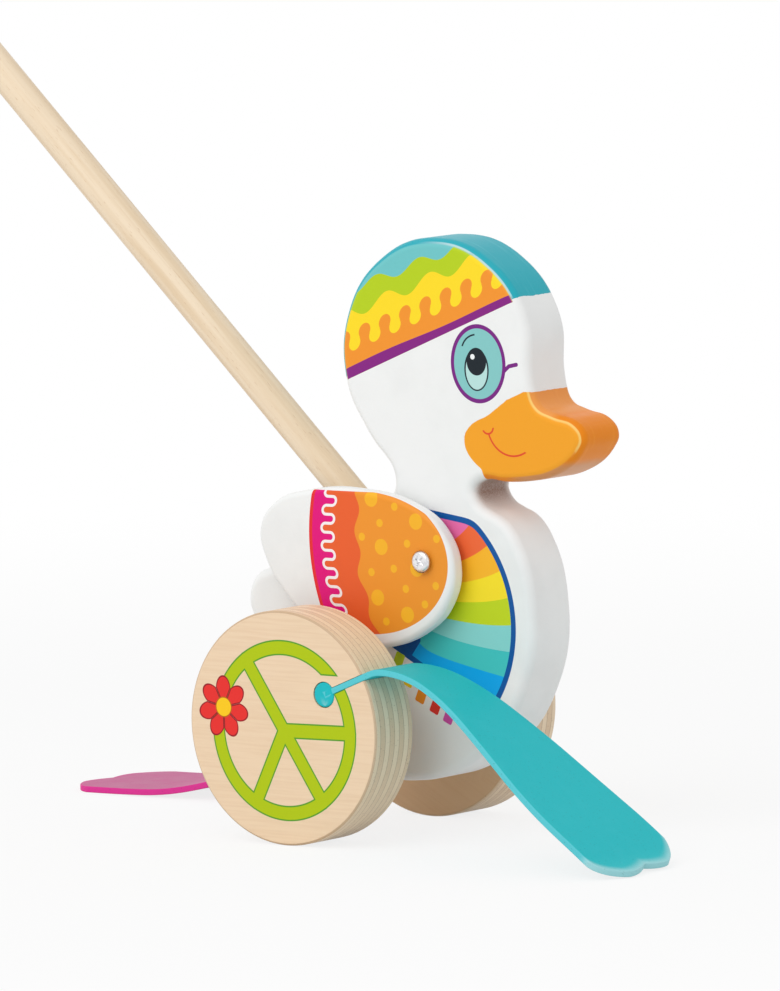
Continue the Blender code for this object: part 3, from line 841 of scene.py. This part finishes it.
def foot(side, bend, turn):
    """One foot: a grid laid along its path and spread to the toes, thickened, with its bead."""
    sign = -1 if side == "right" else 1
    hinge = JOINT_AT[side + "_foot_bend"]
    low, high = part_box(side + "_wheel")
    wheel_middle = (abs(low.y) + abs(high.y)) / 2
    wheel_half = (high.y - low.y) / 2
    bead = AXLE + turn @ BEAD_PLACE
    hinge = Vector((hinge.x, 0, hinge.z))
    neck = (hinge - bead).length
    line = resting_path(bend, hinge)
    bpy.ops.object.select_all(action="DESELECT")
    bpy.ops.mesh.primitive_grid_add(x_subdivisions=150, y_subdivisions=48, size=1.0)
    web = bpy.context.object
    web.name = side + "_webbed_foot"
    rim = web.data.attributes.new("rim", "FLOAT", "POINT")
    toe = web.data.attributes.new("toe", "FLOAT", "POINT")
    for vert in web.data.vertices:
        across = 2 * vert.co.y
        share = vert.co.x + 0.5
        whole = neck + toe_length(-sign * across) * FLAP_LENGTH
        run = share * whole - neck
        rim.data[vert.index].value = max(abs(across), 1 - (1 - share) * 2 * whole / FLAP_WIDTH)
        toe.data[vert.index].value = max(0.0, 1 - (1 - share) * whole / TOE_FADE)
        place = max(0.0, run / FLAP_LENGTH * PATH_STEPS)
        step = min(int(place), PATH_STEPS - 1)
        at = line[step].lerp(line[step + 1], place - step)
        if run < 0:
            at = hinge + (hinge - bead) * (run / neck)
        opened = min(1.0, max(0.0, run / FLAP_WIDENS))
        opened = opened * opened * (3 - 2 * opened)
        half = wheel_half + (FLAP_WIDTH / 2 - wheel_half) * opened
        middle = wheel_middle + (FLAP_SIDE + FLAP_WIDTH / 2 - wheel_middle) * opened
        vert.co = (at.x, sign * (middle + half * across), at.z)
    skin = web.modifiers.new("rubber", "SOLIDIFY")
    skin.thickness = FOOT_THICK
    skin.offset = 0.0
    soft = web.modifiers.new("edges", "BEVEL")
    soft.width = FOOT_EDGE
    soft.segments = 3
    soft.limit_method = "ANGLE"
    soft.angle_limit = math.radians(50)
    hold(web)
    bpy.ops.object.modifier_apply(modifier=skin.name)
    bpy.ops.object.mode_set(mode="EDIT")
    bpy.ops.mesh.select_all(action="SELECT")
    bpy.ops.mesh.normals_make_consistent(inside=False)
    bpy.ops.object.mode_set(mode="OBJECT")
    bpy.ops.object.modifier_apply(modifier=soft.name)
    ends = [Vector((bead.x, y, bead.z)) for y in (low.y, high.y)]
    root = rod("bead", *ends, BEAD_RADIUS, 48)
    broken_edges(root, FOOT_EDGE)
    join(web, root, "UNION")
    polish(web)
    lead = (hinge - bead).normalized()
    side + "_flap"
    hinge - lead * FLAP_HINGE_OUT
    hinge + lead * 0.006
    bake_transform(web)
    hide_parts(side + "_foot_root", side + "_foot_flap")
    return web


right_foot = foot("right", RIGHT_BEND, UPRIGHT)
# The lighter edge colour and the pale tip colour of this foot are painted highlights.
right_foot.data.materials.append(rubber(
    "turquoise_foot", (28, 189, 197), (92, 204, 214), (190, 230, 232), JOINT_AT["right_foot_bend"],
    0.6,
))
left_foot = foot("left", LEFT_BEND, Matrix.Rotation(math.radians(-FEET_APART), 3, "Y"))
left_foot.data.materials.append(rubber(
    "pink_foot", (196, 104, 148), (224, 56, 150), (228, 60, 150), JOINT_AT["left_foot_bend"],
    0.3,
))


# The wings: thin sawn boards with rounded rims, painted white and printed on the outer face.
# Each swings on a dome-headed cross screw, with a steel washer between it and the duck.
WING_ROUND = 0.0018
WING_HOLE = 0.00215
WING_PRINT_FROM = 16.5  # from the middle of the toy: the flat face and the start of its rounding
LEFT_WING_DROOP = 12.0
SCREW_AT = (33.5, 83.5)
SCREW_RADIUS = 0.00175
SCREW_HEAD_RADIUS = 0.0032
SCREW_HEAD_HEIGHT = 0.0019
SCREW_DOME = 0.0011
SCREW_TIP = 0.0008
CROSS_SIZE = (0.0032, 0.0014, 0.00055)
CROSS_TURN = 38.0
LARGE_DOTS = ((14.4, 101.3), (30.9, 95.2), (17.8, 87.1), (16.0, 71.9), (27.0, 67.3), (30.9, 81.2))
SMALL_DOTS = (
    (23.1, 99.3), (17.4, 94.2), (10.6, 89.8), (27.5, 88.5), (38.5, 90.4), (13.9, 79.4), (22.3, 80.8),
    (26.6, 75.0), (37.8, 76.4), (33.6, 70.7), (19.0, 64.9),
)


def wing_print(coat, x, z, face):
    """A red line, magenta with a white meander, red-orange, and orange with amber dots."""
    bow = (z - 89.0) * (z - 89.0) * 0.0085
    rear = bow - x - 9.3
    coat = stamp(coat, (232, 46, 50), rear, face)
    coat = stamp(coat, (230, 4, 126), rear + 1.2, face)
    lean = (z - 88.5) * (z - 88.5) * 0.009 - 2.3
    fingers = meander(z, x - lean, 5.4, 2.3, 100.0)
    coat = stamp(coat, (237, 99, 46), (-fingers).most(rear + 1.2), face)
    coat = stamp(coat, (250, 246, 246), abs(fingers) - 0.42, face)
    sag = (-z + 88.0).most(0.0)
    edge = z.wave(13.0, 98.0) * 1.0 + sag * sag * 0.0098 + 8.9
    orange = edge - x
    coat = stamp(coat, (243, 152, 46), orange, face)
    dots = orange + 1.0
    for radius, centres in ((2.4, LARGE_DOTS), (1.2, SMALL_DOTS)):
        for centre in centres:
            coat = stamp(coat, (251, 184, 40), ellipse(x, z, centre, radius, radius).most(dots), face)
    return coat


def wing_field(x, z):
    """Distance outside the printed part of a wing, which stops short of its rim."""
    lean = 0.045
    ahead, up = (x - 13.89).most(0.0), z - 82.0
    along = ahead * math.cos(lean) + up * math.sin(lean)
    across = up * math.cos(lean) - ahead * math.sin(lean)
    return ellipse(along, across, (0, 0), 28.54, 21.11)


def wing_paint(name, pivot, turn, outer):
    """White paint, with the print on the outer face."""
    finish = new_finish(name, 0.4)
    x, y, z, spot = places(finish, pivot, turn)
    face = (-abs(y) + outer).drawn(0.15)
    coat = over(ink(*WHITE), ink(*WHITE_SHADE), noise(spot, 12.0).rises(0.35, 0.75))
    x, z = x + SCREW_AT[0], z + SCREW_AT[1]
    coat = wing_print(coat, x, z, face * wing_field(x, z).drawn())
    dressed(finish, coat, noise(spot, 3.0) * 0.12 + 0.34, noise(spot, 0.9, detail=2.0), 0.00002)
    return finish


def dome_screw(name, seat, outwards, depth):
    """A dome-headed screw with a cross recess, from its seat under the head."""
    head = rod(name, seat, seat + outwards * SCREW_HEAD_HEIGHT, SCREW_HEAD_RADIUS, 48)
    top = (seat + outwards * SCREW_HEAD_HEIGHT).y
    hold(head)
    for edge in head.data.edges:
        edge.select = all(abs(head.data.vertices[i].co.y - top) < WELD for i in edge.vertices)
    bpy.ops.object.mode_set(mode="EDIT")
    bpy.ops.mesh.select_mode(type="EDGE")
    bpy.ops.mesh.bevel(offset=SCREW_DOME, segments=6, affect="EDGES", clamp_overlap=False)
    bpy.ops.mesh.select_mode(type="VERT")
    bpy.ops.object.mode_set(mode="OBJECT")
    for degrees in (CROSS_TURN, CROSS_TURN + 90):
        bpy.ops.object.select_all(action="DESELECT")
        bpy.ops.mesh.primitive_cube_add(
            size=1.0,
            location=seat + outwards * SCREW_HEAD_HEIGHT,
            rotation=(0, math.radians(degrees), 0),
        )
        bit = bpy.context.object
        bit.scale = CROSS_SIZE
        bpy.ops.object.transform_apply(location=True, rotation=True, scale=True)
        join(head, bit)
    shank = rod("shank", seat - outwards * depth, seat + outwards * 0.0004, SCREW_RADIUS, 32)
    broken_edges(shank, SCREW_TIP)
    join(head, shank, "UNION")
    polish(head)
    return head


def bright_nickel(name, centre):
    """Nickel plate with faint turning marks."""
    finish = new_finish(name, 0.25, 0.5, 1.0)
    x, y, z, spot = places(finish, centre)
    wear = noise(spot, 0.6)
    coat = over(ink(240, 240, 242), ink(220, 220, 224), wear.rises(0.4, 0.7))
    rings = x.reach(z).wave(0.18, 0.0)
    dressed(finish, coat, wear * 0.2 + 0.2, rings, 0.000004)
    return finish


for side in ("right", "left"):
    pivot = JOINT_AT[side + "_wing_swing"]
    outwards = Vector((0, math.copysign(1, pivot.y), 0))
    droop = math.radians(LEFT_WING_DROOP if side == "left" else 0.0)
    wing = sawn_plate(side + "_painted_wing", side + "_wing", pivot.y, WING_ROUND)
    join(wing, rod("drill", pivot - outwards * 0.01, pivot + outwards * 0.01, WING_HOLE, 48))
    polish(wing)
    turn = Matrix.Rotation(droop, 3, "Y")
    centre = Vector((pivot.x, 0, pivot.z))
    wing.data.materials.append(wing_paint(side + "_wing_paint", centre, turn, WING_PRINT_FROM))
    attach(wing, side + "_wing")
    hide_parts(side + "_wing")

    low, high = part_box(side + "_wing_screw")
    tip, crown = sorted((low.y, high.y), key=abs)
    seat = Vector((pivot.x, crown - outwards.y * SCREW_HEAD_HEIGHT, pivot.z))
    screw = dome_screw(side + "_dome_screw", seat, outwards, abs(seat.y) - abs(tip))
    screw.data.materials.append(bright_nickel(side + "_screw_nickel", pivot))
    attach(screw, "duck")
    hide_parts(side + "_wing_screw")
    washer = frame["nodes"][side + "_wing_washer"]
    washer.data.materials[0] = bright_nickel(side + "_washer_nickel", pivot)


# The studio: a pale floor that fades into white, white surroundings, and a large soft lamp
# from the upper left of the camera.
FLOOR_RADIUS = 12.0
FLOOR_GREY = 0.86
FLOOR_GLOW = 0.82
ROOM_LIGHT = 0.72
CAMERA_AZIMUTH = 37.88
CAMERA_ELEVATION = 5.89
CAMERA_ROLL = -1.50
CAMERA_DISTANCE = 2.880
CAMERA_TARGET = Vector((0.00807, 0, 0.10028))  # from the axle's place on the floor
PHOTO_SIZE = (780, 991)
FOCAL_PIXELS = 9664
SENSOR = 36.0


def looked_at(tree):
    """1 on rays that show a surface, straight or mirrored, and 0 on rays that only carry light."""
    rays = tree.nodes.new("ShaderNodeLightPath")
    seen = Field(rays.outputs["Is Camera Ray"]) + Field(rays.outputs["Is Glossy Ray"])
    return (seen + Field(rays.outputs["Is Transmission Ray"])).least(1.0)


scene = bpy.context.scene
scene.view_settings.view_transform = "Standard"

bpy.ops.object.select_all(action="DESELECT")
bpy.ops.mesh.primitive_circle_add(vertices=128, radius=FLOOR_RADIUS, fill_type="NGON")
floor = bpy.context.object
floor.name = "floor"
floor_finish = bpy.data.materials.new("floor_white")
floor_finish.use_nodes = True
tree = floor_finish.node_tree
tree.nodes.clear()
x, y = places(floor_finish, (0, 0, 0))[:2]
paper = tree.nodes.new("ShaderNodeBsdfDiffuse")
paper.inputs["Color"].default_value = (FLOOR_GREY, FLOOR_GREY, FLOOR_GREY, 1)
glow = tree.nodes.new("ShaderNodeEmission")
glow.inputs["Color"].default_value = (1, 1, 1, 1)
far = x.reach(y).rises(250.0, 900.0)
share = looked_at(tree) * (far * (1 - FLOOR_GLOW) + FLOOR_GLOW)
blend = tree.nodes.new("ShaderNodeMixShader")
tree.links.new(share.socket, blend.inputs["Fac"])
tree.links.new(paper.outputs["BSDF"], blend.inputs[1])
tree.links.new(glow.outputs["Emission"], blend.inputs[2])
output = tree.nodes.new("ShaderNodeOutputMaterial")
tree.links.new(blend.outputs["Shader"], output.inputs["Surface"])
floor.data.materials.append(floor_finish)

world = bpy.data.worlds.new("white_room")
world.use_nodes = True
scene.world = world
tree = world.node_tree
room = tree.nodes["Background"]
room.inputs["Color"].default_value = (1, 1, 1, 1)
strength = looked_at(tree) * (1 - ROOM_LIGHT) + ROOM_LIGHT
tree.links.new(strength.socket, room.inputs["Strength"])

turn = math.radians(CAMERA_AZIMUTH)
rise = math.radians(CAMERA_ELEVATION)
back = Vector((math.sin(turn) * math.cos(rise), -math.cos(turn) * math.cos(rise), math.sin(rise)))
level = (-back).cross(Vector((0, 0, 1))).normalized()
upwards = level.cross(-back)
roll = math.radians(CAMERA_ROLL)
camera_right = level * math.cos(roll) + upwards * math.sin(roll)
camera_up = upwards * math.cos(roll) - level * math.sin(roll)
target = Vector((AXLE.x, 0, 0)) + CAMERA_TARGET
lens = bpy.data.cameras.new("photo_camera")
lens.sensor_width = SENSOR
lens.lens = FOCAL_PIXELS * SENSOR / max(PHOTO_SIZE)
camera = bpy.data.objects.new("photo_camera", lens)
axes = Matrix((camera_right, camera_up, back)).transposed().to_4x4()
camera.matrix_world = Matrix.Translation(target + back * CAMERA_DISTANCE) @ axes
scene.collection.objects.link(camera)
scene.camera = camera

KEY_SIZE = 2.0
KEY_WATTS = 19.0
KEY_BACK = 1.2
KEY_LEFT = 1.1
KEY_UP = 1.5
key = bpy.data.lights.new("soft_key", "AREA")
key.shape = "DISK"
key.size = KEY_SIZE
key.energy = KEY_WATTS
lamp = bpy.data.objects.new("soft_key", key)
lamp.location = target + back * KEY_BACK - level * KEY_LEFT + Vector((0, 0, KEY_UP))
lamp.rotation_euler = (lamp.location - target).to_track_quat("Z", "Y").to_euler()
scene.collection.objects.link(lamp)
